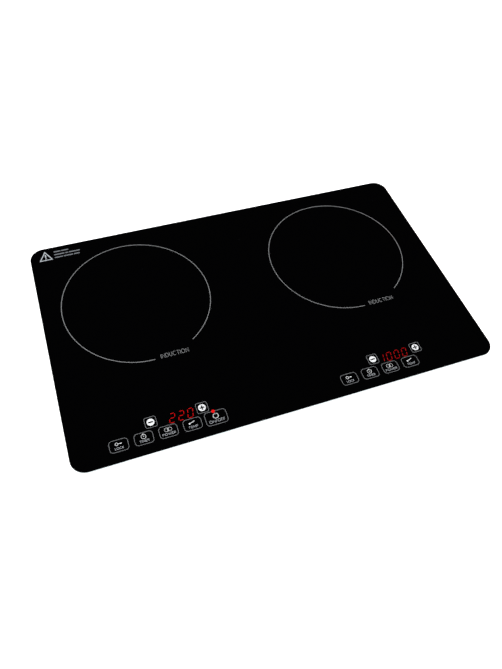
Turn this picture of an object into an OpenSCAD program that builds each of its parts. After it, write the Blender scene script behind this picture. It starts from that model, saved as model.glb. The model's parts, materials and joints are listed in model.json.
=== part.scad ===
// Drop-in induction cooktop with two cooking zones and a touch panel for each.
// The origin is on the surface it stands on, below the middle of the glass.
// +X is to the right, +Y to the back and +Z up.

/* [Glass plate] */
// Width of the glass, left to right
glass_w = 600; // [590:1:620]
// Depth of the glass, front to back
glass_d = 370; // [364:1:385]
// Thickness of the glass
glass_t = 4; // [3:0.5:5]
// Radius of the glass corners
glass_r = 20.5; // [10:0.5:30]
// Width of the ground bevel round the glass
glass_bevel = 0.3; // [0.2:0.1:1.2]

/* [Cooking zones] */
// Middle of the left zone, measured from the middle of the glass
left_zone_x = -165.8; // [-170:0.1:-150]
// Middle of the right zone, measured from the middle of the glass
right_zone_x = 152.3; // [145:0.1:165]
// How far behind the middle of the glass both zones lie
zone_y = 51.2; // [45:0.1:55]
// Radius of the printed zone ring
ring_r = 106.3; // [100:0.1:108]
// Width of the printed lines of the rings
ring_line = 0.8; // [0.5:0.1:2]

/* [Touch panels] */
// Middle of the first key of the left panel
left_key_x = -239.3; // [-244:0.1:-236]
// Middle of the first key of the right panel
right_key_x = 76.9; // [72:0.1:80]
// Distance from one key to the next
key_pitch = 31.5; // [30:0.1:32]
// Width and depth of a key
key_size = [24, 16.4];
// Width and depth of the on and off key
power_key_size = [29, 19.5];
// Width and depth of the plus and minus keys
step_key_size = [15.5, 15.2];
// Distance of the key row in front of the middle of the glass
key_row_y = 162.5; // [160:0.1:163]
// Distance of the display row in front of the middle of the glass
display_row_y = 143.7; // [140:0.1:146]

/* [Housing] */
// Height from the standing surface to the top of the glass
stand_h = 65; // [63:0.5:70]
// How far the rim of the glass overhangs the upper half of the housing
rim_side = 15; // [14:0.5:18]
// How far the front and back rims overhang the upper half of the housing
rim_front = 14; // [13.5:0.5:14.5]
// How far the rim overhangs the deep half of the housing
deep_inset = 27; // [26:0.5:30]
// Thickness of the sheet steel
sheet_t = 1.2; // [1:0.1:1.5]
// Height of the rubber feet
foot_h = 6; // [5:0.5:8]
// Height of the step between the deep and the wide half of the housing
step_z = 34; // [34:0.5:36]

/* [Cooling fans] */
// Width of the square fan frames
fan_w = 92; // [80:1:92]
// Height of the fan frames
fan_h = 25; // [24:0.5:26]
// Number of blades on each rotor
fan_blades = 7; // [5:1:9]
// Pitch of the blades
blade_pitch = 38; // [25:1:40]

/* [Worktop clamps] */
// Distance of the clamps from the middle, front to back
clamp_y = 100; // [80:1:115]
// Length of a clamp arm from its screw to its tip
clamp_reach = 34; // [28:1:36]

/* [Hidden] */

$fn = 72;
LEFT = -1;
RIGHT = 1;
FRONT = -1;
BACK = 1;
SIDES = [LEFT, RIGHT];
ENDS = [FRONT, BACK];
FIT = 0.2;

// Heights of the main levels
glass_z = stand_h - glass_t;
frame_z = glass_z - sheet_t;
pan_floor_z = foot_h + sheet_t;
shelf_z = step_z + sheet_t;
print_t = 0.1;

// Outlines of the housing and of what fits round it
wide_size = [glass_w - 2 * rim_side, glass_d - 2 * rim_front];
deep_size = [glass_w - 2 * deep_inset, glass_d - 2 * deep_inset];
wide_r = 12;
deep_r = 14;
floor_bend = 4.5;
shelf_bend = 1.6;
skirt_t = sheet_t;
skirt_h = 21;
skirt_size = wide_size + [2, 2] * (skirt_t + FIT);
seal_size = [glass_w - 4, glass_d - 4];
seal_w = 8;
seal_t = 2.5;

// Housing screws, in the skirt of the glass frame
screw_r = 1.5;
screw_head_r = 3;
screw_head_h = 1.6;
screw_z = frame_z - 17;
side_screw_y = [-115, 0, 115];
end_screw_x = [-215, -40, 215];

// Feet
foot_r = 12;
foot_xy = [deep_size[0] / 2 - 19, deep_size[1] / 2 - 19];
foot_stud_r = 3;

// Fans
fan_xy = [196, -92];
fan_bore_r = 43.5;
rotor_r = 42;
rotor_hub_r = 19;
rotor_wall = 1.7;
stator_r = 15;
shaft_r = 1.5;
fan_z = pan_floor_z;
fan_back_t = 3;
grille_r = 41;
grille_pitch = 7.4;
grille_slot = 4;
spoke_w = 5;

// Circuit boards
board_t = 1.6;
board_z = 14;
board_top = board_z + board_t;
power_board = [150, 120];
power_xy = [186, 30];
filter_board_size = [110, 100];
filter_y = 95;
standoff_r = 3;

// Coil assemblies, from the plate up
plate_t = 1.5;
plate_front = -112;
plate_back = wide_size[1] / 2 - 3;
plate_w = deep_size[0] - 6;
plate_top = shelf_z + plate_t;
ferrite = [52, 12, 4];
ferrite_inner_r = 30;
ferrites = 8;
carrier_r = 95;
carrier_hole_r = 23;
carrier_t = 2;
carrier_z = 50;
wire_r = 2;
turn_pitch = 3.8;
turns = 17;
winding_inner_r = 27;
mica_z = 57;
mica_t = 1;
lead_offset = 19;
lead_r = 1.8;
post_r = 4;
post_circle_r = 90;

// Touch panels, under the glass
panel_board_z = 49;
panel_board_depth = 41;
panel_board_y = -148;
cradle_z = 46;
cradle_t = 1.6;
spring_r = 4;
display_h = glass_z - panel_board_z - board_t - 0.4;
minus_offset = 44.6;
plus_offset = 112.5;
left_display_offset = 78.2;
right_display_offset = 75.4;
power_key_offset = 125.9;
lamp_xy = [-114.8, -152];

// Worktop clamps
clamp_x = deep_size[0] / 2 + 6;
clamp_z = 20;
clamp_t = 2;
clamp_w = 10.4;
clamp_lip = 5;
clamp_hole_r = 2.35;
clamp_screw_r = 2;

// Cable gland in the back wall
gland_z = 21;
gland_bore_r = 4;

// A flat rectangle with round corners
module rounded(size, r) {
    square([size[0] - 2 * r, size[1]], center = true);
    square([size[0], size[1] - 2 * r], center = true);
    for (x = SIDES, y = ENDS) {
        translate([x * (size[0] / 2 - r), y * (size[1] / 2 - r)]) circle(r);
    }
}

// A slot of length l and width w, along X
module slot(l, w) {
    square([l - w, w], center = true);
    for (x = SIDES) {
        translate([x * (l - w) / 2, 0]) circle(w / 2);
    }
}

// A block with round upright corners
module block(size, r) {
    linear_extrude(size[2]) rounded([size[0], size[1]], r);
}

// A round bar along X, from x = 0
module bar_x(r, l) {
    rotate([0, 90, 0]) cylinder(r = r, h = l);
}

// A flat frame line: a round-cornered outline of width line
module outline(size, r, line) {
    difference() {
        rounded(size, r);
        rounded(size - [2, 2] * line, r - line);
    }
}

function zone_x(side) = side == LEFT ? left_zone_x : right_zone_x;
function key_x(side, i) = (side == LEFT ? left_key_x : right_key_x) + i * key_pitch;
function step_key_x(side, offset) = key_x(side, 0) + offset;

module at_zone(side, z) {
    translate([zone_x(side), zone_y, z]) children();
}

module at_power_board(side, x, y, z) {
    translate([side * (power_xy[0] + x), power_xy[1] + y, z]) children();
}

// A block with round upright corners of radius r. Its edge has the section that the child
// draws between x = -r and the outer face at x = 0.
module edged_block(size, r) {
    inner = [size[0] - 2 * r, size[1] - 2 * r];
    translate([-inner[0] / 2, -inner[1] / 2, 0]) cube([inner[0], inner[1], size[2]]);
    for (turn = [0, 180]) {
        rotate([0, 0, turn]) {
            translate([size[0] / 2, inner[1] / 2, 0])
                rotate([90, 0, 0]) linear_extrude(inner[1]) children();
            translate([inner[0] / 2, -size[1] / 2, 0])
                rotate([90, 0, -90]) linear_extrude(inner[0]) children();
        }
    }
    for (x = SIDES, y = ENDS) {
        translate([x * inner[0] / 2, y * inner[1] / 2, 0]) rotate_extrude() translate([r, 0]) children();
    }
}

// Section of an edge that is bevelled above and below
module bevelled_edge(r, h, bevel) {
    polygon([[-r, 0], [-bevel, 0], [0, bevel], [0, h - bevel], [-bevel, h], [-r, h]]);
}

// Section of an edge that is rounded below, as sheet steel is where it is drawn
module drawn_edge(r, h, bend) {
    translate([-r, 0]) square([r - bend, h]);
    translate([-bend, bend]) square([bend, h - bend]);
    translate([-bend, bend]) circle(bend);
}

// The plate, with a shallow recess for every print, which fills it flush
module glass_top() {
    color([0.01, 0.01, 0.012]) difference() {
        translate([0, 0, glass_z]) edged_block([glass_w, glass_d, glass_t], glass_r)
            bevelled_edge(glass_r, glass_t, glass_bevel);
        for (side = SIDES) {
            zone_print(side, print_t + 1);
            touch_print(side, print_t + 1);
        }
    }
}

// Zone ring, open at the lower right where a word is printed
module zone_print(side, h) {
    gap_start = 270;
    gap_end = 303;
    at_zone(side, stand_h - print_t)
        rotate([0, 0, gap_end]) rotate_extrude(angle = 360 + gap_start - gap_end)
            translate([ring_r - ring_line / 2, 0]) square([ring_line, h]);
}

module zone_mark(side) {
    color("gainsboro") zone_print(side, print_t);
}

module touch_marks(side) {
    color("gainsboro") touch_print(side, print_t);
}

// Printed outlines of the keys of one panel
module touch_print(side, h) {
    line = 0.5;
    corner = 4.5;
    step_corner = 2.8;
    translate([0, 0, stand_h - print_t]) linear_extrude(h) {
        for (i = [0:3]) {
            translate([key_x(side, i), -key_row_y]) outline(key_size, corner, line);
        }
        for (offset = [minus_offset, plus_offset]) {
            translate([step_key_x(side, offset), -display_row_y])
                outline(step_key_size, step_corner, line);
        }
        if (side == LEFT) {
            translate([step_key_x(side, power_key_offset), -key_row_y])
                outline(power_key_size, corner, line);
        }
    }
}

// Foam tape under the rim, which rests on the worktop
module rim_seal() {
    color("dimgray") translate([0, 0, glass_z - seal_t]) linear_extrude(seal_t)
        outline(seal_size, glass_r - 2, seal_w);
}

// Steel frame bonded under the glass, with a skirt round the housing pan
module glass_frame() {
    flange = 18;
    front_flange = 5.5;
    opening = skirt_size - [2 * flange, flange + front_flange];
    color("silver") {
        translate([0, 0, frame_z]) linear_extrude(sheet_t) difference() {
            rounded(skirt_size, wide_r + skirt_t + FIT);
            translate([0, (front_flange - flange) / 2]) rounded(opening, 6);
        }
        difference() {
            translate([0, 0, frame_z - skirt_h]) linear_extrude(skirt_h)
                outline(skirt_size, wide_r + skirt_t + FIT, skirt_t);
            housing_screw_places() bar_x(screw_r + FIT, 8);
        }
    }
}

// Runs its children at each housing screw, pointing inwards along +X
module housing_screw_places() {
    for (x = SIDES, y = side_screw_y) {
        translate([x * skirt_size[0] / 2, y, screw_z]) rotate([0, 0, x == LEFT ? 0 : 180]) children();
    }
    for (y = ENDS, x = end_screw_x) {
        translate([x, y * skirt_size[1] / 2, screw_z]) rotate([0, 0, -y * 90]) children();
    }
}

module housing_screws() {
    length = 7;
    color("silver") housing_screw_places() {
        bar_x(screw_r, length);
        difference() {
            translate([-screw_head_h, 0, 0]) bar_x(screw_head_r, screw_head_h);
            for (turn = [0, 90]) {
                rotate([turn, 0, 0]) translate([-screw_head_h - 1, -1.8, -0.35]) cube([1.8, 3.6, 0.7]);
            }
        }
    }
}

// The outer or inner shape of the stepped pan
module pan_shape(shrink, low_z, shelf) {
    deep = deep_size - [2, 2] * shrink;
    wide = wide_size - [2, 2] * shrink;
    deep_h = shelf - low_z + sheet_t;
    wide_h = frame_z - shelf + shrink;
    translate([0, 0, low_z]) edged_block([deep[0], deep[1], deep_h], deep_r - shrink)
        drawn_edge(deep_r - shrink, deep_h, floor_bend - shrink);
    translate([0, 0, shelf]) edged_block([wide[0], wide[1], wide_h], wide_r - shrink)
        drawn_edge(wide_r - shrink, wide_h, shelf_bend - shrink);
}

// Intake slots of one fan, cut in rows and left whole along a middle spoke
module fan_grille() {
    rows = floor(grille_r / grille_pitch);
    for (i = [-rows:rows], half = SIDES) {
        y = i * grille_pitch;
        chord = sqrt(pow(grille_r, 2) - pow(y, 2)) - spoke_w / 2;
        translate([half * (spoke_w + chord) / 2, y]) slot(chord, grille_slot);
    }
}

// A row of upright vent slots in a wall that faces Y
module wall_vents(count, pitch, slot_h) {
    for (i = [0:count - 1]) {
        translate([(i - (count - 1) / 2) * pitch, 0, 0])
            rotate([90, 90, 0]) linear_extrude(8, center = true) slot(slot_h, 3);
    }
}

module housing_pan() {
    bead = [120, 9];
    bead_h = 0.8;
    color("darkgray") {
        difference() {
            pan_shape(0, foot_h, step_z);
            pan_shape(sheet_t, pan_floor_z, shelf_z);
            for (side = SIDES) {
                translate([side * fan_xy[0], fan_xy[1], foot_h - 1]) linear_extrude(sheet_t + 2) fan_grille();
                translate([side * 150, deep_size[1] / 2, 20]) wall_vents(24, 8, 17);
            }
            for (x = SIDES, y = ENDS) {
                translate([x * foot_xy[0], y * foot_xy[1], foot_h - 1])
                    cylinder(r = foot_stud_r, h = sheet_t + 2);
                translate([x * clamp_x, y * clamp_y, step_z - 1])
                    cylinder(r = clamp_screw_r + FIT, h = sheet_t + 2);
            }
            translate([0, deep_size[1] / 2 - 4, gland_z]) rotate([-90, 0, 0]) cylinder(r = 8.2, h = 8);
            housing_screw_places() bar_x(screw_r + FIT, 8);
        }
        for (y = [-50, 10]) {
            translate([0, y, foot_h - bead_h]) linear_extrude(bead_h + sheet_t / 2) slot(bead[0], bead[1]);
        }
    }
}

module rubber_feet() {
    color([0.05, 0.05, 0.05]) for (x = SIDES, y = ENDS) {
        translate([x * foot_xy[0], y * foot_xy[1], 0]) rotate_extrude() polygon([
            [0, 0],
            [foot_r - 2.5, 0],
            [foot_r - 1.5, 1],
            [foot_r, foot_h],
            [foot_stud_r, foot_h],
            [foot_stud_r, pan_floor_z + 1.5],
            [0, pan_floor_z + 1.5]
        ]);
    }
}

// Blank type plate, without any lettering
module rating_plate() {
    plate = [74, 38];
    color("silver") translate([0, 75, foot_h - 0.3]) linear_extrude(0.3) rounded(plate, 3);
}

// Aluminium plate that carries both coils, with tabs on the shelf of the pan
module coil_plate() {
    depth = plate_back - plate_front;
    middle = (plate_back + plate_front) / 2;
    tab = [26, 24];
    color("lightgray") difference() {
        translate([0, middle, shelf_z]) linear_extrude(plate_t) {
            rounded([plate_w, depth], 10);
            for (x = SIDES, y = [-60, 30]) {
                translate([x * plate_w / 2, y]) square(tab, center = true);
            }
        }
        for (side = SIDES, x = SIDES) {
            translate([zone_x(side) + x * lead_offset, zone_y, shelf_z - 1])
                cylinder(r = lead_r + 2, h = plate_t + 2);
        }
        for (x = [-25, 0, 25]) {
            translate([x, middle, shelf_z - 1]) linear_extrude(plate_t + 2) rotate(90) slot(70, 12);
        }
    }
}

// Three posts under each coil carrier
module coil_posts() {
    color("dimgray") for (side = SIDES, turn = [22.5, 157.5, 292.5]) {
        at_zone(side, plate_top) rotate([0, 0, turn]) translate([post_circle_r, 0, 0])
            cylinder(r = post_r, h = carrier_z - plate_top);
    }
}

// Runs its children at each ferrite bar of a coil, along +X
module ferrite_places() {
    for (i = [0:ferrites - 1]) {
        rotate([0, 0, i * 360 / ferrites]) translate([ferrite_inner_r, 0, 0]) children();
    }
}

// Disc with a pair of ribs beside each ferrite bar
module coil_carrier(side) {
    rib_t = 1.6;
    rib_h = ferrite[2];
    color("whitesmoke") at_zone(side, carrier_z) {
        linear_extrude(carrier_t) difference() {
            circle(carrier_r);
            circle(carrier_hole_r);
        }
        ferrite_places() for (y = ENDS) {
            translate([0, y * (ferrite[1] / 2 + FIT + rib_t / 2) - rib_t / 2, -rib_h])
                cube([ferrite[0], rib_t, rib_h]);
        }
        for (r = [winding_inner_r - 3.2, winding_inner_r + (turns - 1) * turn_pitch + 2.2]) {
            linear_extrude(carrier_t + 3) difference() {
                circle(r + 1);
                circle(r);
            }
        }
    }
}

module ferrite_bars(side) {
    color([0.16, 0.16, 0.17]) at_zone(side, carrier_z - ferrite[2]) ferrite_places()
        translate([0, -ferrite[1] / 2, 0]) cube(ferrite);
}

// Flat pancake of stranded wire, each turn touching the next
module coil_winding(side) {
    color([0.72, 0.36, 0.16]) at_zone(side, carrier_z + carrier_t + wire_r) rotate_extrude()
        for (i = [0:turns - 1]) {
            translate([winding_inner_r + i * turn_pitch, 0]) circle(wire_r, $fn = 32);
        }
}

// The two ends of the winding, down to ring terminals on the power board
module coil_leads(side) {
    ring_t = 1.2;
    color([0.72, 0.36, 0.16]) for (x = SIDES) {
        at_zone(side, board_top) translate([x * lead_offset, 0, 0]) {
            cylinder(r = 5, h = ring_t);
            cylinder(r = lead_r, h = carrier_z + carrier_t - board_top);
        }
    }
}

module mica_disc(side) {
    color("tan") at_zone(side, mica_z) linear_extrude(mica_t) difference() {
        circle(carrier_r);
        circle(winding_inner_r - 4);
    }
}

// Sprung temperature sensor pressed against the glass
module heat_sensor(side) {
    color("white") at_zone(side, plate_top) rotate_extrude() polygon([
        [0, 0],
        [8, 0],
        [8, 3],
        [5, 3],
        [5, 15],
        [9, 15],
        [9, glass_z - plate_top - 2],
        [6, glass_z - plate_top],
        [0, glass_z - plate_top]
    ]);
}

// Posts under the boards and under the front edge of the coil plate
module board_standoffs() {
    color("goldenrod") {
        for (side = SIDES, x = SIDES, y = ENDS) {
            at_power_board(side, x * (power_board[0] / 2 - 7), y * (power_board[1] / 2 - 7), pan_floor_z)
                cylinder(r = standoff_r, h = board_z - pan_floor_z);
        }
        for (x = SIDES, y = ENDS) {
            translate([x * (filter_board_size[0] / 2 - 7), filter_y + y * (filter_board_size[1] / 2 - 7),
                       pan_floor_z])
                cylinder(r = standoff_r, h = board_z - pan_floor_z);
        }
        for (x = SIDES) {
            translate([x * 60, plate_front + 7, pan_floor_z]) cylinder(r = 4, h = shelf_z - pan_floor_z);
        }
    }
}

module power_circuit_board(side) {
    color("darkgreen") at_power_board(side, 0, 0, board_z) linear_extrude(board_t) difference() {
        rounded(power_board, 3);
        for (x = SIDES, y = ENDS) {
            translate([x * (power_board[0] / 2 - 7), y * (power_board[1] / 2 - 7)]) circle(1.6);
        }
    }
}

module heatsink(side) {
    size = [100, 44];
    base_t = 4;
    fin_h = 14;
    fin_t = 1.4;
    fins = 9;
    color("silver") at_power_board(side, 0, -34, board_top) {
        translate([-size[0] / 2, -size[1] / 2, 0]) cube([size[0], size[1], base_t]);
        for (i = [0:fins - 1]) {
            translate([-size[0] / 2, -size[1] / 2 + i * (size[1] - fin_t) / (fins - 1), 0])
                cube([size[0], fin_t, base_t + fin_h]);
        }
    }
}

// Two transistors and a rectifier, bolted flat against the back of the heatsink
module power_switches(side) {
    body = [16, 5, 17];
    color([0.1, 0.1, 0.1]) for (i = [-1, 0, 1]) {
        at_power_board(side, i * 28, -9.4, board_top) {
            translate([-body[0] / 2, -2.6, 0]) cube(body);
            translate([0, 2, 12]) rotate([-90, 0, 0]) cylinder(r = 2.8, h = 2.2);
        }
    }
}

// Two film capacitors and one round one, along the back of the power board
module capacitors(side) {
    size = [34, 13, 17];
    row_y = 46;
    color([0.75, 0.15, 0.12]) for (x = [-50, -10]) {
        at_power_board(side, x, row_y, board_top) block(size, 1);
    }
    color([0.1, 0.12, 0.2]) at_power_board(side, 57, row_y, board_top) cylinder(r = 6, h = 17);
}

// Ring core wound with thick wire, standing on the power board
module choke(side) {
    color([0.75, 0.4, 0.15]) at_power_board(side, 45, 18, board_top) rotate_extrude()
        translate([11, 7]) rounded([9, 14], 3);
}

module filter_circuit_board() {
    color("darkgreen") translate([0, filter_y, board_z]) linear_extrude(board_t) difference() {
        rounded(filter_board_size, 3);
        for (x = SIDES, y = ENDS) {
            translate([x * (filter_board_size[0] / 2 - 7), y * (filter_board_size[1] / 2 - 7)]) circle(1.6);
        }
    }
}

// Mains filter: a wound core, two capacitors, a relay and a fuse
module filter_parts() {
    color([0.2, 0.35, 0.6]) {
        translate([-28, filter_y - 22, board_top]) rotate_extrude() translate([11, 7]) rounded([9, 14], 3);
        translate([18, filter_y - 34, board_top]) block([32, 12, 16], 1);
        translate([18, filter_y - 18, board_top]) block([32, 12, 16], 1);
        translate([26, filter_y + 4, board_top]) block([28, 15, 16], 1);
        translate([-36, filter_y + 12, board_top + 4]) bar_x(3, 24);
    }
}

module terminal_block() {
    ways = 3;
    pitch = 13;
    color("ivory") translate([0, filter_y + 37, board_top]) difference() {
        block([ways * pitch + 4, 18, 16], 1);
        for (i = [0:ways - 1]) {
            translate([(i - 1) * pitch, 0, 9]) cylinder(r = 3.5, h = 8);
            translate([(i - 1) * pitch, 0, 6]) rotate([-90, 0, 0]) cylinder(r = 2.6, h = 12);
        }
    }
}

// Empty gland for the supply lead, through the back wall
module cable_gland() {
    wall_y = deep_size[1] / 2;
    hex_d = 22;
    color([0.08, 0.08, 0.08]) translate([0, wall_y, gland_z]) rotate([-90, 0, 0]) difference() {
        union() {
            translate([0, 0, -8]) cylinder(r = 8, h = 18);
            cylinder(d = hex_d, h = 5, $fn = 6);
            translate([0, 0, -6]) cylinder(d = hex_d, h = 4.8, $fn = 6);
        }
        translate([0, 0, -9]) cylinder(r = gland_bore_r, h = 20);
    }
}

// Fan frame with its motor hub held by four struts at the top
module fan_frame(side) {
    corner_hole = fan_w / 2 - 5;
    strut_l = fan_bore_r - stator_r + 1;
    color([0.12, 0.12, 0.12]) translate([side * fan_xy[0], fan_xy[1], fan_z]) {
        linear_extrude(fan_h) difference() {
            rounded([fan_w, fan_w], 4);
            circle(fan_bore_r);
            for (x = SIDES, y = ENDS) {
                translate([x * corner_hole, y * corner_hole]) circle(2.1);
            }
        }
        difference() {
            union() {
                translate([0, 0, 6]) cylinder(r = stator_r, h = fan_h - 6);
                translate([0, 0, fan_h - fan_back_t]) {
                    cylinder(r = rotor_hub_r, h = fan_back_t);
                    for (turn = [45:90:315]) {
                        rotate([0, 0, turn]) translate([stator_r, -3, 0]) cube([strut_l, 6, 2.4]);
                    }
                }
            }
            translate([0, 0, 5]) cylinder(r = shaft_r + 0.1, h = fan_h);
        }
    }
}

// Cup-shaped hub over the motor, with a shaft and pitched blades
module fan_rotor(side) {
    base_z = 2.5;
    hub_h = 18.5;
    blade_w = 23;
    blade_t = 1.5;
    color([0.2, 0.2, 0.21]) translate([side * fan_xy[0], fan_xy[1], fan_z + base_z]) {
        difference() {
            cylinder(r = rotor_hub_r, h = hub_h);
            translate([0, 0, 2]) cylinder(r = rotor_hub_r - rotor_wall, h = hub_h);
        }
        cylinder(r = shaft_r, h = 20.5);
        intersection() {
            difference() {
                cylinder(r = rotor_r, h = hub_h);
                translate([0, 0, -1]) cylinder(r = rotor_hub_r - rotor_wall / 2, h = hub_h + 2);
            }
            for (i = [0:fan_blades - 1]) {
                rotate([0, 0, i * 360 / fan_blades])
                    translate([rotor_hub_r + rotor_r / 2, 0, hub_h / 2]) rotate([blade_pitch, 0, 0])
                        cube([rotor_r + 4, blade_w, blade_t], center = true);
            }
        }
    }
}

function panel_middle(side) = key_x(side, 0) + (side == LEFT ? 63.4 : 52.2);
function panel_width(side) = side == LEFT ? 158 : 134;

// Plastic cradle under a touch board: two legs on the shelf and two on the floor
module panel_cradle(side) {
    size = [panel_width(side) + 4, panel_board_depth + 2];
    leg = 8;
    color([0.85, 0.85, 0.85]) translate([panel_middle(side), panel_board_y, 0]) {
        translate([0, 0, cradle_z]) difference() {
            block([size[0], size[1], 4], 2);
            translate([0, 0, cradle_t]) block([size[0] - 2.4, size[1] - 2.4, 4], 1);
            for (x = [-2:2]) {
                translate([x * 24, 0, -1]) linear_extrude(4) rotate(90) slot(30, 12);
            }
        }
        for (x = SIDES) {
            translate([x * (size[0] / 2 - leg), 0, 0]) {
                translate([-leg / 2, -size[1] / 2 + 1, shelf_z]) cube([leg, leg, cradle_z - shelf_z + 1]);
                translate([-leg / 2, -5, pan_floor_z]) cube([leg, leg, cradle_z - pan_floor_z + 1]);
            }
            translate([x * (size[0] / 2 - leg), 0, cradle_z]) cylinder(r = 3, h = panel_board_z - cradle_z);
        }
    }
}

module touch_board(side) {
    color("darkgreen") translate([panel_middle(side), panel_board_y, panel_board_z])
        linear_extrude(board_t) rounded([panel_width(side), panel_board_depth - 2], 2);
}

// Spring sleeves that bring each key's sense pad up to the glass
module touch_springs(side) {
    wall = 0.6;
    keys = concat(
        [for (i = [0:3]) [key_x(side, i), -key_row_y]],
        [for (offset = [minus_offset, plus_offset]) [step_key_x(side, offset), -display_row_y]],
        side == LEFT ? [[step_key_x(side, power_key_offset), -key_row_y]] : []
    );
    base_z = panel_board_z + board_t;
    color("silver") for (key = keys) {
        translate([key[0], key[1], base_z]) difference() {
            cylinder(r = spring_r, h = glass_z - base_z);
            translate([0, 0, 1]) cylinder(r = spring_r - wall, h = glass_z - base_z - 2);
        }
    }
}

// Four-digit display block, with a pocket behind each digit
module display(side) {
    digit_pitch = 12;
    offset = side == LEFT ? left_display_offset : right_display_offset;
    place = [step_key_x(side, offset), -display_row_y - 2.6, panel_board_z + board_t];
    color([0.15, 0.15, 0.15]) translate(place) difference() {
        block([50, 17, display_h], 1);
        for (i = [0:3]) {
            translate([(i - 1.5) * digit_pitch, 0, display_h - 1]) block([9, 14, 2], 1);
        }
    }
}

// Red lamp beside the on and off key
module status_lamp() {
    color("red") translate([lamp_xy[0], lamp_xy[1], panel_board_z + board_t]) {
        cylinder(r = 3, h = 1);
        cylinder(r = 2.5, h = display_h);
    }
}

// Flat cables from each touch board to its power board
module ribbon_cables() {
    width = 20;
    t = 0.8;
    x_place = 130;
    drop_y = -121;
    run_z = 24;
    board_edge = panel_board_y + panel_board_depth / 2 - 3;
    landing_y = power_xy[1] - power_board[1] / 2 + 2;
    high_z = panel_board_z + board_t;
    color("lightgray") for (side = SIDES) {
        translate([side * x_place - width / 2, 0, 0]) {
            translate([0, board_edge, high_z]) cube([width, drop_y - board_edge + t, t]);
            translate([0, drop_y, run_z]) cube([width, t, high_z - run_z + t]);
            translate([0, drop_y, run_z]) cube([width, landing_y - drop_y, t]);
            translate([0, landing_y - t, board_top]) cube([width, t, run_z - board_top + t]);
        }
    }
}

// Runs its children at a clamp's pivot, with +X pointing from it along the parked arm
module at_clamp(side, end) {
    translate([side * clamp_x, end * clamp_y, 0]) rotate([0, 0, -end * 90]) children();
}

// Clamp arm, parked along the side wall, with a turned-up lip at its tip
module clamp(side, end) {
    color("silver") at_clamp(side, end) difference() {
        translate([0, 0, clamp_z]) {
            linear_extrude(clamp_t) {
                circle(clamp_w / 2);
                translate([0, -clamp_w / 2]) square([clamp_reach, clamp_w]);
            }
            translate([clamp_reach - clamp_t, -clamp_w / 2, 0]) cube([clamp_t, clamp_w, clamp_t + clamp_lip]);
        }
        translate([0, 0, clamp_z - 1]) cylinder(r = clamp_hole_r, h = clamp_t + 2);
    }
}

// Screws that hold the clamps, with a keeper ring above each arm and a nut on the shelf
module clamp_screws() {
    head_z = clamp_z - 4;
    nut_r = 4.4;
    color("gainsboro") for (x = SIDES, y = ENDS) {
        translate([x * clamp_x, y * clamp_y, head_z]) {
            difference() {
                cylinder(r = 4, h = 3.2);
                translate([-3, -0.5, -1]) cube([6, 1, 2.2]);
            }
            cylinder(r = clamp_screw_r, h = shelf_z + 4.5 - head_z);
            translate([0, 0, clamp_z + clamp_t + 0.8 - head_z]) cylinder(r = 3.6, h = 1.2);
            translate([0, 0, shelf_z - head_z]) cylinder(r = nut_r, h = 3.5, $fn = 6);
        }
    }
}

glass_top();
zone_mark(LEFT);  // zone_mark_left
zone_mark(RIGHT);  // zone_mark_right
touch_marks(LEFT);  // touch_marks_left
touch_marks(RIGHT);  // touch_marks_right
rim_seal();
glass_frame();
housing_pan();
housing_screws();
rubber_feet();
rating_plate();
coil_plate();
coil_posts();
coil_carrier(LEFT);  // coil_carrier_left
coil_carrier(RIGHT);  // coil_carrier_right
ferrite_bars(LEFT);  // ferrites_left
ferrite_bars(RIGHT);  // ferrites_right
coil_winding(LEFT);  // coil_winding_left
coil_winding(RIGHT);  // coil_winding_right
coil_leads(LEFT);  // coil_leads_left
coil_leads(RIGHT);  // coil_leads_right
mica_disc(LEFT);  // mica_disc_left
mica_disc(RIGHT);  // mica_disc_right
heat_sensor(LEFT);  // heat_sensor_left
heat_sensor(RIGHT);  // heat_sensor_right
board_standoffs();
power_circuit_board(LEFT);  // power_board_left
power_circuit_board(RIGHT);  // power_board_right
heatsink(LEFT);  // heatsink_left
heatsink(RIGHT);  // heatsink_right
power_switches(LEFT);  // power_switches_left
power_switches(RIGHT);  // power_switches_right
capacitors(LEFT);  // capacitors_left
capacitors(RIGHT);  // capacitors_right
choke(LEFT);  // choke_left
choke(RIGHT);  // choke_right
filter_circuit_board();  // filter_board
filter_parts();
terminal_block();
cable_gland();
fan_frame(LEFT);  // fan_frame_left
fan_frame(RIGHT);  // fan_frame_right
fan_rotor(LEFT);  // fan_rotor_left
fan_rotor(RIGHT);  // fan_rotor_right
panel_cradle(LEFT);  // panel_cradle_left
panel_cradle(RIGHT);  // panel_cradle_right
touch_board(LEFT);  // touch_board_left
touch_board(RIGHT);  // touch_board_right
touch_springs(LEFT);  // touch_springs_left
touch_springs(RIGHT);  // touch_springs_right
display(LEFT);  // display_left
display(RIGHT);  // display_right
status_lamp();
ribbon_cables();
clamp(LEFT, FRONT);  // clamp_front_left
clamp(RIGHT, FRONT);  // clamp_front_right
clamp(LEFT, BACK);  // clamp_back_left
clamp(RIGHT, BACK);  // clamp_back_right
clamp_screws();
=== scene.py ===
"""Looks of the induction cooktop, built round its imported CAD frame. Lengths are in metres."""
import json
import math

import bmesh
import bpy
from mathutils import Matrix, Vector


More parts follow.
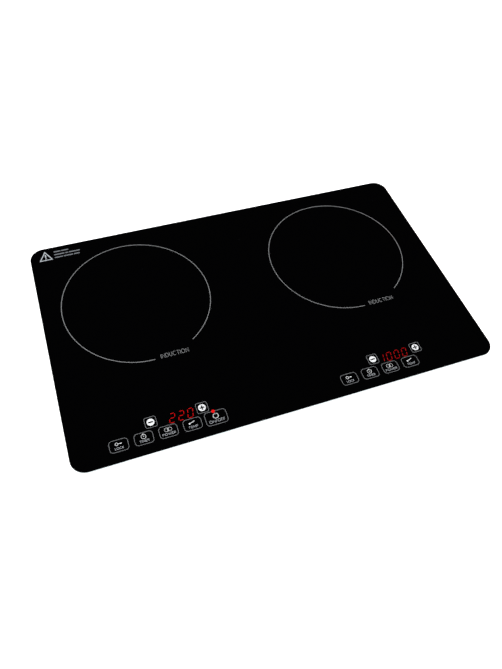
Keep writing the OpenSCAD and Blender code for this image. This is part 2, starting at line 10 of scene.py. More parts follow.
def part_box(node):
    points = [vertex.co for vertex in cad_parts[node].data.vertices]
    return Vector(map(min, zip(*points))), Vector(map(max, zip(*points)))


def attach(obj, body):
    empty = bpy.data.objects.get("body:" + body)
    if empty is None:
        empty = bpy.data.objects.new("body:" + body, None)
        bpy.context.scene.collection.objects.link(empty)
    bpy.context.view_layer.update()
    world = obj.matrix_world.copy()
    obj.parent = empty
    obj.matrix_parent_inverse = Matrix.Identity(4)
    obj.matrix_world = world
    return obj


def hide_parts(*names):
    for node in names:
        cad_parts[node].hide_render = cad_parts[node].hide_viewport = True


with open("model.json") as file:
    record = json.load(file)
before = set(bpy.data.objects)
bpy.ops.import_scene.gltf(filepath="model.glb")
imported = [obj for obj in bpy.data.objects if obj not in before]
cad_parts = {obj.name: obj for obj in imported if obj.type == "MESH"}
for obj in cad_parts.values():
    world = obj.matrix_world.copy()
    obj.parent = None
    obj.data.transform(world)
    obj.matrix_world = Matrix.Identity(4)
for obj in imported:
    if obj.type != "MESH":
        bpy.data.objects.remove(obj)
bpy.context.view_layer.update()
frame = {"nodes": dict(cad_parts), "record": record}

MM = 0.001
SIDES = {"left": -1, "right": 1}


# ---------------------------------------------------------------- materials

class Finish:
    """A node-based material, put together step by step."""

    def __init__(self, name, roughness=0.5, metallic=0.0, **sockets):
        self.material = bpy.data.materials.new(name)
        self.material.use_nodes = True
        self.tree = self.material.node_tree
        self.shader = self.tree.nodes["Principled BSDF"]
        self.shader.inputs["Roughness"].default_value = roughness
        self.shader.inputs["Metallic"].default_value = metallic
        for socket, value in sockets.items():
            self.shader.inputs[socket.replace("_", " ")].default_value = value
        self.relief = None
        coordinates = self.tree.nodes.new("ShaderNodeTexCoord")
        self.place = coordinates.outputs["Object"]
        self.wrap = coordinates.outputs["UV"]

    def node(self, kind, **inputs):
        made = self.tree.nodes.new(kind)
        for socket, value in inputs.items():
            self.feed(made.inputs[socket.replace("_", " ")], value)
        return made

    def feed(self, socket, value):
        if isinstance(value, bpy.types.NodeSocket):
            self.tree.links.new(value, socket)
        else:
            socket.default_value = value

    def noise(self, size, detail=3.0, stretch=(1.0, 1.0, 1.0)):
        place = self.node("ShaderNodeMapping", Vector=self.place, Scale=stretch).outputs["Vector"]
        made = self.node("ShaderNodeTexNoise", Vector=place, Scale=1 / size, Detail=detail)
        return made.outputs["Fac"]

    def cells(self, size, output="Distance"):
        made = self.node("ShaderNodeTexVoronoi", Vector=self.place, Scale=1 / size)
        return made.outputs[output]

    def waves(self, place, scale):
        return self.node("ShaderNodeTexWave", Vector=place, Scale=scale).outputs["Fac"]

    def maths(self, operation, a, b):
        made = self.tree.nodes.new("ShaderNodeMath")
        made.operation = operation
        self.feed(made.inputs[0], a)
        self.feed(made.inputs[1], b)
        return made.outputs["Value"]

    def between(self, factor, low, high, start=0.3, end=0.7):
        """A value that runs from low to high as factor goes from start to end."""
        made = self.node("ShaderNodeMapRange", Value=factor, From_Min=start, From_Max=end,
                         To_Min=low, To_Max=high)
        return made.outputs["Result"]

    def colour(self, factor, stops, socket="Base Color"):
        """The socket's colour is picked from stops, a list of (position, colour), by factor."""
        made = self.node("ShaderNodeValToRGB", Fac=factor)
        elements = made.color_ramp.elements
        while len(elements) < len(stops):
            elements.new(0.5)
        for element, (position, colour) in zip(elements, stops):
            element.position = position
            element.color = (*colour, 1.0)
        self.feed(self.shader.inputs[socket], made.outputs["Color"])

    def shade(self, factor, colour, spread=0.12):
        """Base colour that varies a little round colour."""
        dark = tuple(c * (1 - spread) for c in colour)
        pale = tuple(min(1.0, c * (1 + spread)) for c in colour)
        self.colour(factor, [(0.3, dark), (0.7, pale)])

    def gloss(self, factor, low, high):
        self.feed(self.shader.inputs["Roughness"], self.between(factor, low, high))

    def bump(self, height, depth):
        """Adds relief in which a height of 1 stands depth metres high."""
        inputs = {"Height": height, "Distance": depth, "Strength": 1.0}
        if self.relief is not None:
            inputs["Normal"] = self.relief
        self.relief = self.node("ShaderNodeBump", **inputs).outputs["Normal"]
        self.feed(self.shader.inputs["Normal"], self.relief)


def black_glass():
    """Polished black glass-ceramic, with faint wiping marks and a few specks of dust."""
    f = Finish("black_glass", IOR=1.5)
    f.gloss(f.noise(70 * MM, detail=4.0, stretch=(1.0, 2.6, 1.0)), 0.03, 0.08)
    speck = f.between(f.cells(46 * MM), 1.0, 0.0, start=0.006, end=0.010)
    f.colour(speck, [(0.0, (0.0004, 0.0004, 0.0005)), (1.0, (0.02, 0.02, 0.02))])
    return f.material


def ground_glass():
    """The matt, pale edge that grinding leaves."""
    f = Finish("ground_glass_edge", IOR=1.5)
    grain = f.noise(0.7 * MM, detail=6.0)
    f.colour(f.noise(40 * MM), [(0.3, (0.42, 0.48, 0.49)), (0.7, (0.52, 0.55, 0.56))])
    f.gloss(grain, 0.35, 0.6)
    f.bump(grain, 0.05 * MM)
    return f.material


def enamel(name, colour):
    """Fired screen print, with a fine grain."""
    f = Finish(name, IOR=1.4)
    grain = f.noise(0.25 * MM, detail=2.0)
    f.shade(f.noise(3 * MM), colour, spread=0.06)
    f.gloss(grain, 0.5, 0.65)
    f.bump(grain, 0.01 * MM)
    return f.material


def glow(name, deep, bright):
    """A red segment or lamp behind its diffuser."""
    f = Finish(name, roughness=0.4, Emission_Strength=1.0)
    f.colour(f.noise(2 * MM), [(0.3, deep), (0.7, bright)], socket="Emission Color")
    f.shade(f.noise(2 * MM), (0.02, 0.001, 0.001))
    return f.material


def galvanised():
    """Zinc-coated sheet, with its spangle and the drawing marks of the press."""
    f = Finish("galvanised_steel", metallic=1.0)
    spangle = f.cells(4.5 * MM, output="Color")
    cloud = f.noise(60 * MM)
    tone = f.maths("ADD", f.maths("MULTIPLY", spangle, 0.5), f.maths("MULTIPLY", cloud, 0.5))
    f.colour(tone, [(0.15, (0.29, 0.30, 0.315)), (0.85, (0.41, 0.42, 0.44))])
    f.gloss(spangle, 0.28, 0.38)
    f.bump(f.noise(0.9 * MM, stretch=(1.0, 1.0, 9.0)), 0.02 * MM)
    return f.material


def metal(name, colour, low, high):
    """Bare metal with fine scratches, whose roughness runs from low to high."""
    f = Finish(name, metallic=1.0)
    f.shade(f.noise(6 * MM), colour)
    scratches = f.noise(0.6 * MM, stretch=(1.0, 8.0, 1.0))
    f.gloss(scratches, low, high)
    f.bump(scratches, 0.01 * MM)
    return f.material


def plastic(name, colour, roughness, grain=0.5 * MM):
    """Moulded plastic with a fine spark-eroded grain."""
    f = Finish(name, IOR=1.46)
    f.shade(f.noise(18 * MM), colour, spread=0.08)
    f.gloss(f.noise(8 * MM), roughness - 0.06, roughness + 0.06)
    f.bump(f.noise(grain, detail=5.0), 0.02 * MM)
    return f.material


def rubber(name, colour):
    """Moulded rubber, dull and a little dusty."""
    f = Finish(name)
    f.shade(f.noise(5 * MM), colour, spread=0.25)
    f.gloss(f.noise(3 * MM), 0.62, 0.85)
    f.bump(f.noise(0.4 * MM, detail=6.0), 0.05 * MM)
    return f.material


def foam():
    """Closed-cell tape."""
    f = Finish("foam")
    f.shade(f.noise(4 * MM), (0.035, 0.035, 0.036), spread=0.25)
    f.gloss(f.noise(2 * MM), 0.8, 0.95)
    f.bump(f.cells(0.7 * MM), 0.25 * MM)
    return f.material


def circuit_board():
    """Green solder mask over copper tracks, dotted with tinned pads."""
    f = Finish("circuit_board", IOR=1.5)
    tracks = f.node("ShaderNodeTexBrick", Vector=f.place, Scale=1 / (7 * MM), Mortar_Size=0.07)
    for socket, value in (("Color1", 0.0), ("Color2", 0.3), ("Mortar", 1.0)):
        tracks.inputs[socket].default_value = (value, value, value, 1.0)
    pads = f.between(f.cells(3.4 * MM), 1.0, 0.0, start=0.13, end=0.17)
    layer = f.maths("MAXIMUM", f.maths("MULTIPLY", tracks.outputs["Color"], 0.5), pads)
    f.colour(layer, [(0.0, (0.010, 0.075, 0.030)), (0.5, (0.035, 0.17, 0.07)), (1.0, (0.55, 0.56, 0.52))])
    f.gloss(f.noise(6 * MM), 0.22, 0.38)
    f.bump(layer, 0.05 * MM)
    return f.material


def stranded_copper():
    """Enamelled strands twisted into a round wire, wound along the piece's own length, with painted shade in
    the grooves between strands and painted highlight on their crests.
    """
    f = Finish("stranded_copper", metallic=0.7)
    lay = f.node("ShaderNodeMapping", Vector=f.wrap, Scale=(0.8, 1.0, 1.0), Rotation=(0, 0, math.radians(45)))
    strand_relief_and_shade = f.waves(lay.outputs["Vector"], 2.6)
    # Painted shade and highlight: the copper is darker in the grooves between strands and paler on their
    # crests, following the bump's relief.
    f.colour(strand_relief_and_shade, [(0.0, (0.24, 0.075, 0.025)), (1.0, (0.68, 0.30, 0.12))])
    f.gloss(f.noise(2 * MM), 0.25, 0.4)
    f.bump(strand_relief_and_shade, 0.2 * MM)
    return f.material


def enamelled_copper():
    """Solid winding wire under clear enamel."""
    f = Finish("enamelled_copper", metallic=0.85, Coat_Weight=0.5, Coat_Roughness=0.15)
    f.shade(f.noise(4 * MM), (0.62, 0.26, 0.09), spread=0.15)
    f.gloss(f.noise(1.5 * MM), 0.2, 0.32)
    return f.material


def mica():
    """Pressed mica flakes."""
    f = Finish("mica", IOR=1.55)
    f.colour(f.cells(4 * MM, output="Color"), [(0.1, (0.36, 0.30, 0.21)), (0.9, (0.62, 0.55, 0.42))])
    f.gloss(f.noise(3 * MM), 0.25, 0.5)
    f.bump(f.cells(4 * MM), 0.05 * MM)
    return f.material


def slot_finishes():
    """The finish of each of the record's material slots."""
    return {
        "black_glass": black_glass(),
        "white_print": enamel("white_print", (0.17, 0.174, 0.178)),
        "foam": foam(),
        "galvanised_steel": galvanised(),
        "bright_steel": metal("bright_steel", (0.46, 0.465, 0.48), 0.18, 0.34),
        "foot_rubber": rubber("foot_rubber", (0.02, 0.02, 0.021)),
        "plate_foil": metal("plate_foil", (0.66, 0.66, 0.67), 0.3, 0.4),
        "sheet_aluminium": metal("sheet_aluminium", (0.66, 0.67, 0.68), 0.28, 0.45),
        "post_plastic": rubber("post_plastic", (0.08, 0.08, 0.085)),
        "brass": metal("brass", (0.62, 0.45, 0.18), 0.2, 0.35),
        "circuit_board": circuit_board(),
        "filter_parts": plastic("filter_parts", (0.62, 0.42, 0.05), 0.35),
        "terminal_plastic": plastic("terminal_plastic", (0.6, 0.57, 0.48), 0.5),
        "black_plastic": plastic("black_plastic", (0.018, 0.018, 0.019), 0.48),
        "fan_plastic": plastic("fan_plastic", (0.03, 0.03, 0.033), 0.42),
        "white_plastic": plastic("white_plastic", (0.66, 0.66, 0.63), 0.5),
        "ferrite": plastic("ferrite", (0.05, 0.05, 0.055), 0.6, grain=0.3 * MM),
        "copper": stranded_copper(),
        "mica": mica(),
        "sensor_ceramic": plastic("sensor_ceramic", (0.74, 0.73, 0.7), 0.35),
        "chip_plastic": plastic("chip_plastic", (0.02, 0.02, 0.021), 0.55),
        "capacitor_shell": plastic("capacitor_shell", (0.42, 0.035, 0.03), 0.3),
        "display_plastic": plastic("display_plastic", (0.025, 0.025, 0.026), 0.45),
        "red_lamp": glow("red_lamp", (0.5, 0.0, 0.0), (0.8, 0.01, 0.01)),
        "ribbon": plastic("ribbon", (0.42, 0.42, 0.43), 0.5),
    }


finishes = slot_finishes()
node_slot = {part["node"]: part["material_slot"] for part in frame["record"]["subparts"]}
for node, cad_object in frame["nodes"].items():
    for material_slot in cad_object.material_slots:
        material_slot.material = finishes[node_slot[node]]


# ---------------------------------------------------------------- shapes

def add_piece(name, shape, slot=None, replaced=(), materials=None):
    """A fixed piece made of shape, a bmesh, that stands for the replaced CAD nodes.

    It takes the finish of the record's slot, or its own materials where those are given.
    """
    bmesh.ops.recalc_face_normals(shape, faces=shape.faces)
    mesh = bpy.data.meshes.new(name)
    shape.to_mesh(mesh)
    shape.free()
    for material in materials or [finishes[slot]]:
        mesh.materials.append(material)
    piece = bpy.data.objects.new(name, mesh)
    bpy.context.scene.collection.objects.link(piece)
    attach(piece, "root")
    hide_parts(*replaced)


def middle_of(node):
    low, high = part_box(node)
    return (low + high) / 2


def arc(centre, radius, start, end, steps, squash=1.0):
    """Points along an arc, or along part of an ellipse that is squash times as high as wide."""
    middle = Vector(centre)
    turns = [math.radians(start + (end - start) * i / steps) for i in range(steps + 1)]
    return [middle + radius * Vector((math.cos(t), squash * math.sin(t))) for t in turns]


def rounded_loop(width, depth, radius, steps=8, centre=(0.0, 0.0)):
    """The closed outline of a rectangle with round corners, anticlockwise."""
    points = []
    for turn, (x, y) in zip((0, 90, 180, 270), ((1, 1), (-1, 1), (-1, -1), (1, -1))):
        middle = (centre[0] + x * (width / 2 - radius), centre[1] + y * (depth / 2 - radius))
        points += arc(middle, radius, turn, turn + 90, steps)
    return points


def join_rows(shape, rows, closed_rows=False, material=0):
    """Faces between rows of vertices; each row is a closed loop."""
    pairs = list(zip(rows, rows[1:]))
    if closed_rows:
        pairs.append((rows[-1], rows[0]))
    for lower, upper in pairs:
        for i in range(len(lower)):
            j = (i + 1) % len(lower)
            side = shape.faces.new((lower[i], lower[j], upper[j], upper[i]))
            side.material_index = material
            side.smooth = True


def lathe(shape, profile, centre, steps=48, material=0):
    """A turned body about a vertical axis; profile lists (radius, height) and is closed on the axis."""
    ends = []
    rows = []
    for radius, z in profile:
        if radius == 0:
            ends.append(shape.verts.new((centre[0], centre[1], z)))
            continue
        turns = [2 * math.pi * i / steps for i in range(steps)]
        rows.append([shape.verts.new((centre[0] + radius * math.cos(t), centre[1] + radius * math.sin(t), z))
                     for t in turns])
    join_rows(shape, rows, closed_rows=not ends, material=material)
    for end, row in zip(ends, (rows[0], rows[-1])):
        for i in range(steps):
            face = shape.faces.new((end, row[i], row[(i + 1) % steps]))
            face.material_index = material


def tube(shape, points, radius, sides=8, material=0):
    """A round wire along points, with map coordinates that run along it and round it."""
    wrap = shape.loops.layers.uv.verify()
    last = len(points) - 1
    tangents = [(points[min(i + 1, last)] - points[max(i - 1, 0)]).normalized() for i in range(last + 1)]
    across = tangents[0].orthogonal().normalized()
    rows = []
    for point, tangent in zip(points, tangents):
        across = (across - tangent * across.dot(tangent)).normalized()
        other = tangent.cross(across)
        turns = [2 * math.pi * k / sides for k in range(sides)]
        rows.append([shape.verts.new(point + (across * math.cos(t) + other * math.sin(t)) * radius)
                     for t in turns])
    along = 0.0
    for i in range(last):
        ahead = along + (points[i + 1] - points[i]).length / (2 * math.pi * radius)
        for k in range(sides):
            m = (k + 1) % sides
            face = shape.faces.new((rows[i][k], rows[i][m], rows[i + 1][m], rows[i + 1][k]))
            face.smooth = True
            face.material_index = material
            spots = ((along, k), (along, k + 1), (ahead, k + 1), (ahead, k))
            for loop, (u, v) in zip(face.loops, spots):
                loop[wrap].uv = (u, v / sides)
        along = ahead
    for row in (rows[0], rows[-1]):
        shape.faces.new(row).material_index = material


def soft_box(shape, low, high, radius):
    """A box between two corners, with rounded edges."""
    middle = (Vector(low) + Vector(high)) / 2
    size = Vector(high) - Vector(low)
    place = Matrix.Translation(middle) @ Matrix.Diagonal((*size, 1.0))
    made = bmesh.ops.create_cube(shape, size=1.0, matrix=place)
    edges = list(dict.fromkeys(edge for v in made["verts"] for edge in v.link_edges))
    bmesh.ops.bevel(shape, geom=edges, offset=radius, segments=3, affect="EDGES", profile=0.5)


def bent_path(corners, radius, steps=6):
    """Points along a path whose corners are rounded to that radius."""
    path = [Vector(corners[0])]
    for before, here, after in zip(corners, corners[1:], corners[2:]):
        here = Vector(here)
        come = (Vector(before) - here).normalized()
        go = (Vector(after) - here).normalized()
        for i in range(steps + 1):
            t = i / steps
            path.append(here + come * radius * (1 - t) ** 2 + go * radius * t ** 2)
    path.append(Vector(corners[-1]))
    return path


def bow(x, y, across, up, start, end, steps=12):
    """Points along part of an ellipse, for drawing letters."""
    return [(p.x, y + (p.y - y) * up / across) for p in arc((x, y), across, start, end, steps)]


# Width and strokes of each capital, for a height of 1
LETTERS = {
    "C": (0.82, [bow(0.46, 0.5, 0.46, 0.5, 48, 312)]),
    "D": (0.74, [[(0, 0), (0, 1)], [(0, 1), (0.28, 1)] + bow(0.28, 0.5, 0.46, 0.5, 90, -90) + [(0, 0)]]),
    "E": (0.52, [[(0.52, 1), (0, 1), (0, 0), (0.52, 0)], [(0, 0.52), (0.46, 0.52)]]),
    "F": (0.48, [[(0.48, 1), (0, 1), (0, 0)], [(0, 0.5), (0.42, 0.5)]]),
    "I": (0.0, [[(0, 0), (0, 1)]]),
    "K": (0.58, [[(0, 0), (0, 1)], [(0.56, 1), (0, 0.42)], [(0.2, 0.62), (0.58, 0)]]),
    "L": (0.46, [[(0, 1), (0, 0), (0.46, 0)]]),
    "M": (0.84, [[(0, 0), (0, 1), (0.42, 0.25), (0.84, 1), (0.84, 0)]]),
    "N": (0.70, [[(0, 0), (0, 1), (0.7, 0), (0.7, 1)]]),
    "O": (1.0, [bow(0.5, 0.5, 0.5, 0.5, 0, 360, steps=24)]),
    "P": (0.54, [[(0, 0), (0, 1), (0.28, 1)] + bow(0.28, 0.75, 0.26, 0.25, 90, -90) + [(0, 0.5)]]),
    "R": (0.58, [[(0, 0), (0, 1), (0.28, 1)] + bow(0.28, 0.75, 0.26, 0.25, 90, -90) + [(0, 0.5)],
                 [(0.3, 0.5), (0.58, 0)]]),
    "T": (0.62, [[(0, 1), (0.62, 1)], [(0.31, 1), (0.31, 0)]]),
    "U": (0.68, [[(0, 1), (0, 0.34)] + bow(0.34, 0.34, 0.34, 0.34, 180, 360) + [(0.68, 1)]]),
    "W": (1.0, [[(0, 1), (0.25, 0), (0.5, 0.85), (0.75, 0), (1, 1)]]),
    "/": (0.36, [[(0, -0.06), (0.36, 1.06)]]),
}
LETTER_GAP = 0.3

# Shapes that cross are laid on slightly different levels, so that no two tops share a plane
LEVELS = 16
LEVEL_STEP = 0.0005 * MM


class Flat:
    """Flat artwork of one thickness, collected shape by shape."""

    def __init__(self, top, thickness):
        self.shape = bmesh.new()
        self.top = top
        self.bottom = top - thickness
        self.laid = 0

    def level(self):
        """The top of the next shape."""
        self.laid += 1
        return self.top - (self.laid % LEVELS) * LEVEL_STEP

    def fill(self, loop):
        """A filled shape with an anticlockwise outline."""
        top = self.level()
        high = [self.shape.verts.new((p[0], p[1], top)) for p in loop]
        low = [self.shape.verts.new((p[0], p[1], self.bottom)) for p in loop]
        self.shape.faces.new(high)
        self.shape.faces.new(low[::-1])
        for i in range(len(loop)):
            j = (i + 1) % len(loop)
            self.shape.faces.new((low[i], low[j], high[j], high[i]))

    def disc(self, centre, radius, steps=40):
        self.fill(arc(centre, radius, 0, 360 - 360 / steps, steps - 1))

    def stroke(self, points, width):
        """A line of that width along points, mitred at its bends; closed if it ends where it starts."""
        points = [Vector(p[:2]) for p in points]
        closed = (points[0] - points[-1]).length < 0.001 * MM
        if closed:
            points.pop()
        count = len(points)
        top = self.level()
        rows = []
        for i, here in enumerate(points):
            before = points[i - 1] if closed or i > 0 else here
            after = points[(i + 1) % count] if closed or i < count - 1 else here
            go = (after - here).normalized() if after != here else (here - before).normalized()
            come = (here - before).normalized() if before != here else go
            across = Vector((-come.y - go.y, come.x + go.x)).normalized()
            reach = across * width / 2 / max(0.5, across.dot(Vector((-come.y, come.x))))
            right, left = here - reach, here + reach
            rows.append([
                self.shape.verts.new((right.x, right.y, top)),
                self.shape.verts.new((left.x, left.y, top)),
                self.shape.verts.new((left.x, left.y, self.bottom)),
                self.shape.verts.new((right.x, right.y, self.bottom)),
            ])
        for i in range(count if closed else count - 1):
            here, there = rows[i], rows[(i + 1) % count]
            for k in range(4):
                m = (k + 1) % 4
                self.shape.faces.new((here[k], there[k], there[m], here[m]))
        if not closed:
            self.shape.faces.new(rows[0])
            self.shape.faces.new(rows[-1][::-1])

    def ring(self, centre, radius, width, squash=1.0):
        self.stroke(arc(centre, radius, 0, 360, 36, squash), width)

    def words(self, text, centre, size, line):
        """Plain capitals that fill a size of (width, height) about centre."""
        full = sum(LETTERS[letter][0] for letter in text) + LETTER_GAP * (len(text) - 1)
        wide, high = (size[0] - line) / full, size[1] - line
        pen = centre[0] - full * wide / 2
        for letter in text:
            width, strokes = LETTERS[letter]
            for stroke in strokes:
                self.stroke([(pen + x * wide, centre[1] + (y - 0.5) * high) for x, y in stroke], line)
            pen += (width + LETTER_GAP) * wide


# ---------------------------------------------------------------- the glass plate

PLATE_LOW, PLATE_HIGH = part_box("glass_top")
PLATE_CORNER = 20.5 * MM
PRINT_RELIEF = 0.05 * MM
GLASS_Z = PLATE_HIGH.z - PRINT_RELIEF


def make_plate():
    """The plate, level by level from its underside, over the ground edge, to its polished top."""
    bevel = 0.3 * MM
    arris = 0.09 * MM
    width, depth = (PLATE_HIGH - PLATE_LOW).xy
    levels = [
        (bevel, PLATE_LOW.z),
        (arris, PLATE_LOW.z + arris),
        (0.0, PLATE_LOW.z + bevel),
        (0.0, GLASS_Z - bevel),
        (arris, GLASS_Z - arris),
        (bevel, GLASS_Z),
    ]
    shape = bmesh.new()
    rows = []
    for inset, z in levels:
        loop = rounded_loop(width - 2 * inset, depth - 2 * inset, PLATE_CORNER - inset, steps=24)
        rows.append([shape.verts.new((p.x, p.y, z)) for p in loop])
    ground = 4
    join_rows(shape, rows[:ground], material=1)
    join_rows(shape, rows[ground - 1:])
    shape.faces.new(rows[-1])
    shape.faces.new(rows[0][::-1])
    add_piece("glass_plate", shape, "black_glass", ["glass_top"], [finishes["black_glass"], ground_glass()])


# ---------------------------------------------------------------- printed artwork

RING_R = (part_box("zone_mark_left")[1].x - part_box("zone_mark_left")[0].x) / 2
RING_LINE = 0.8 * MM
RING_GAP = (270.0, 303.0)
KEY_PITCH = 31.5 * MM
KEY_SIZE = (24 * MM, 16.4 * MM)
KEY_LINE = 0.5 * MM
KEY_CORNER = 4.5 * MM
STEP_KEY_CORNER = 2.8 * MM
POWER_KEY_SIZE = (29 * MM, 19.5 * MM)
STEP_KEY_SIZE = (15.5 * MM, 15.2 * MM)
KEY_Y = -162.5 * MM
STEP_Y = -143.7 * MM
MINUS_X = 44.6 * MM
PLUS_X = 112.5 * MM
POWER_X = 125.9 * MM
LABELS = ("LOCK", "TIMER", "POWER", "TEMP")
LABEL_WIDTHS = (11.0 * MM, 12.2 * MM, 17.0 * MM, 12.0 * MM)
LABEL_HEIGHT = 3.2 * MM
LABEL_DROP = 3.6
ICON_LIFT = 2.4
LABEL_LINE = 0.4 * MM
DIGIT_PITCH = 12 * MM
DIGIT_SIZE = (7.3 * MM, 13.3 * MM)
DIGIT_BAR = 0.6 * MM
DIGIT_BAR_GAP = 0.9 * MM
DIGIT_SLANT = 0.21
SEGMENTS = {"0": "abcdef", "1": "bc", "2": "abdeg", " ": ""}
READINGS = {"left": " 220", "right": "1000"}


def new_print():
    return Flat(PLATE_HIGH.z, 2 * PRINT_RELIEF)


def first_key_x(side):
    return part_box(f"touch_marks_{side}")[0].x + KEY_SIZE[0] / 2


def key_centre(side, i):
    return Vector((first_key_x(side) + i * KEY_PITCH, KEY_Y))


def power_key_centre(side):
    return Vector((first_key_x(side) + POWER_X, KEY_Y))


def step_key_centre(side, x):
    return Vector((first_key_x(side) + x, STEP_Y))


def near(at, x, y):
    """The place x and y millimetres from at."""
    return at + Vector((x, y)) * MM


def zone_print(side):
    """The ring of a zone and the word in its gap."""
    middle = middle_of(f"coil_carrier_{side}").xy
    ring = new_print()
    ring.stroke(arc(middle, RING_R - RING_LINE / 2, RING_GAP[1], 360 + RING_GAP[0], 300), RING_LINE)
    add_piece(f"zone_ring_{side}", ring.shape, "white_print", [f"zone_mark_{side}"])
    word = new_print()
    word.words("INDUCTION", near(middle, 27.8, -104.0), (39 * MM, 6.8 * MM), 0.5 * MM)
    add_piece(f"zone_word_{side}", word.shape, "white_print")


def key_frame(flat, centre, size, corner=KEY_CORNER):
    loop = rounded_loop(size[0] - KEY_LINE, size[1] - KEY_LINE, corner - KEY_LINE / 2, centre=centre)
    flat.stroke(loop + loop[:1], KEY_LINE)


def panel_frames(side, material):
    """The outlines of the keys of one panel."""
    flat = new_print()
    for i in range(len(LABELS)):
        key_frame(flat, key_centre(side, i), KEY_SIZE)
    for x in (MINUS_X, PLUS_X):
        key_frame(flat, step_key_centre(side, x), STEP_KEY_SIZE, STEP_KEY_CORNER)
    if side == "left":
        key_frame(flat, power_key_centre(side), POWER_KEY_SIZE)
    add_piece(f"key_frames_{side}", flat.shape, "white_print", [f"touch_marks_{side}"], [material])


def lock_icon(flat, at):
    flat.ring(near(at, -2.3, 0), 1.8 * MM, 0.55 * MM)
    flat.stroke([near(at, -0.3, 0), near(at, 4.0, 0)], 0.5 * MM)
    flat.stroke([near(at, 1.8, -0.1), near(at, 4.0, -0.1)], 1.2 * MM)


def timer_icon(flat, at):
    flat.ring(at, 3.0 * MM, 0.45 * MM)
    flat.disc(at, 0.45 * MM)
    flat.stroke([at, near(at, 0, 1.9)], 0.3 * MM)
    flat.stroke([at, near(at, 1.4, 0)], 0.3 * MM)
    flat.stroke([near(at, -0.7, 3.7), near(at, 0.7, 3.7)], 0.35 * MM)


def power_icon(flat, at):
    for x in (-1.9, 1.9):
        flat.ring(near(at, x, 0), 2.9 * MM, 0.28 * MM, squash=0.88)
    flash = ((0.8, 2.1), (-0.4, 0.1), (0.4, -0.1), (-0.8, -2.1))
    flat.stroke([near(at, x, y) for x, y in flash], 0.3 * MM)


def temp_icon(flat, at):
    bulb = near(at, -3.6, -0.8)
    flat.disc(bulb, 1.1 * MM)
    flat.stroke([bulb, near(at, 3.6, 1.7)], 0.75 * MM)


def standby_icon(flat, at):
    flat.stroke(arc(at, 3.4 * MM, 112, 428, 40), 0.65 * MM)
    flat.stroke([near(at, 0, 2.0), near(at, 0, 4.2)], 0.45 * MM)


def panel_icons(side, icon_material, label_material):
    """The key symbols, and the function words under them."""
    icons, labels = new_print(), new_print()
    for i, draw in enumerate((lock_icon, timer_icon, power_icon, temp_icon)):
        centre = key_centre(side, i)
        draw(icons, near(centre, 0, ICON_LIFT))
        size = (LABEL_WIDTHS[i], LABEL_HEIGHT)
        labels.words(LABELS[i], near(centre, 0, -LABEL_DROP), size, LABEL_LINE)
    if side == "left":
        centre = power_key_centre(side)
        standby_icon(icons, near(centre, 0, ICON_LIFT))
        labels.words("ON/OFF", near(centre, 0, -4.6), (21 * MM, 4 * MM), LABEL_LINE)
    add_piece(f"key_icons_{side}", icons.shape, "white_print", materials=[icon_material])
    add_piece(f"key_labels_{side}", labels.shape, "white_print", materials=[label_material])


def step_discs(side, material):
    """The filled discs of the minus and plus keys, with their dark signs."""
    discs = Flat(PLATE_HIGH.z - PRINT_RELIEF / 2, PRINT_RELIEF)
    signs = Flat(PLATE_HIGH.z, PRINT_RELIEF)
    for x, reaches in ((MINUS_X, ((1, 0),)), (PLUS_X, ((1, 0), (0, 1)))):
        centre = step_key_centre(side, x)
        discs.disc(centre, 4.9 * MM)
        for reach in reaches:
            half = Vector(reach) * 3.3 * MM
            signs.stroke([centre - half, centre + half], 1.8 * MM)
    add_piece(f"step_discs_{side}", discs.shape, "white_print", materials=[material])
    add_piece(f"step_signs_{side}", signs.shape, "black_glass")


def segment_loop(name):
    """One bar of a seven-segment digit about the digit's middle: six corners, pointed ends."""
    w, h = (DIGIT_SIZE[0] - DIGIT_BAR) / 2, (DIGIT_SIZE[1] - DIGIT_BAR) / 2
    start, end = {
        "a": ((-w, h), (w, h)), "b": ((w, h), (w, 0)), "c": ((w, 0), (w, -h)), "d": ((-w, -h), (w, -h)),
        "e": ((-w, 0), (-w, -h)), "f": ((-w, h), (-w, 0)), "g": ((-w, 0), (w, 0)),
    }[name]
    along = (Vector(end) - Vector(start)).normalized()
    across = Vector((-along.y, along.x)) * DIGIT_BAR / 2
    a, b = Vector(start) + along * DIGIT_BAR_GAP, Vector(end) - along * DIGIT_BAR_GAP
    point = along * DIGIT_BAR / 2
    return [a, a + point - across, b - point - across, b, b - point + across, a + point + across]


def display_digits(side, material):
    """The reading of one panel, in red seven-segment digits."""
    flat = new_print()
    middle = middle_of(f"display_{side}").xy
    for i, digit in enumerate(READINGS[side]):
        shift = (i - 1.5) * DIGIT_PITCH
        for name in SEGMENTS[digit]:
            bar = segment_loop(name)
            flat.fill([(middle.x + shift + p.x + p.y * DIGIT_SLANT, middle.y + p.y) for p in bar])
    add_piece(f"display_digits_{side}", flat.shape, "red_lamp", materials=[material])


def lamp_spot(material):
    """The status lamp's light, seen through the glass just in front of the lamp's middle."""
    flat = new_print()
    flat.disc(near(middle_of("status_lamp").xy, 0, -1), 2.3 * MM)
    add_piece("lamp_spot", flat.shape, "red_lamp", materials=[material])


def caution_mark(bright, dull):
    """A plain triangle and rows of bars, where such a hob carries a printed caution."""
    sign, bars = new_print(), new_print()
    base = Vector((-277.2, 161.3)) * MM
    corners = [near(base, x, y) for x, y in ((-8.6, 0), (8.6, 0), (0, 16.2))]
    sign.stroke(corners + corners[:1], 1.5 * MM)
    sign.stroke([near(base, 0, 5.6), near(base, 0, 11)], 1.9 * MM)
    sign.disc(near(base, 0, 3.1), 1.1 * MM)
    add_piece("caution_sign", sign.shape, "white_print", materials=[bright])
    bar_left, bar_gap = -264.4, 1.3
    rows = ((174.8, (10, 10.5)), (169.0, (15, 4.5, 16)), (163.2, (12, 14, 8.5)))
    for y, lengths in rows:
        x = bar_left
        for length in lengths:
            bars.stroke([Vector((x, y)) * MM, Vector((x + length, y)) * MM], 2.0 * MM)
            x += length + bar_gap
    add_piece("caution_bars", bars.shape, "white_print", materials=[dull])


# ---------------------------------------------------------------- parts under the glass

